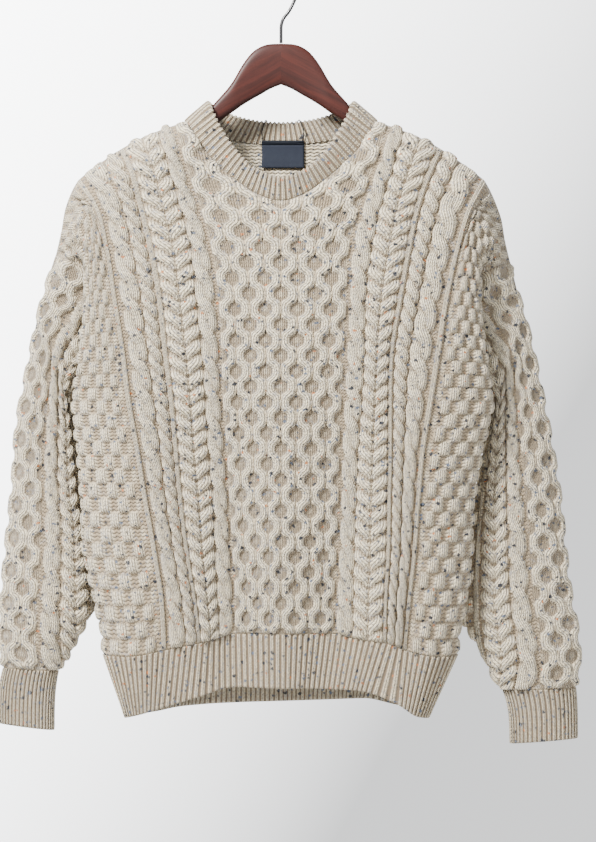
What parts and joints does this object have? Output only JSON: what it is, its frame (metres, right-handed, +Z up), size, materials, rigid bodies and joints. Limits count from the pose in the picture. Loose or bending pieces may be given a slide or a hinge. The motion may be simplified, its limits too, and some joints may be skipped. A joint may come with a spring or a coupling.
{
  "type": "crewneck sweater on hanger",
  "caption": "Heavy cable-knit crewneck sweater in flecked oatmeal wool with drop shoulders, hanging on a dark wooden hanger with a wire hook.",
  "frame": {"origin": "inner top of the hook's loop, where the clothes rail carries it", "axes": "+Z up, the front of the sweater faces -Y, +X to the right in the picture"},
  "size_m": [0.6566, 0.0961, 0.8609],
  "materials": {
    "wool_knit": "heavy flecked wool yarn, knitted in cables and ribs, matte and slightly hairy",
    "navy_ribbon": "woven navy ribbon, plain, no lettering",
    "navy_cord": "thin twisted navy cord",
    "mahogany": "dark red-brown varnished hardwood, satin",
    "black_wire": "black coated steel wire, semi-gloss"
  },
  "bodies": {
    "root": {"back_panel": "wool_knit", "front_panel": "wool_knit", "sleeve_left": "wool_knit", "sleeve_right": "wool_knit", "cuff_left": "wool_knit", "cuff_right": "wool_knit", "hem_rib_front": "wool_knit", "hem_rib_back": "wool_knit", "neckband": "wool_knit", "label": "navy_ribbon", "label_fold": "navy_ribbon", "label_loop": "navy_cord", "hanger_arm_left": "mahogany", "hanger_arm_right": "mahogany", "hanger_hook": "black_wire"}
  },
  "joints": []
}
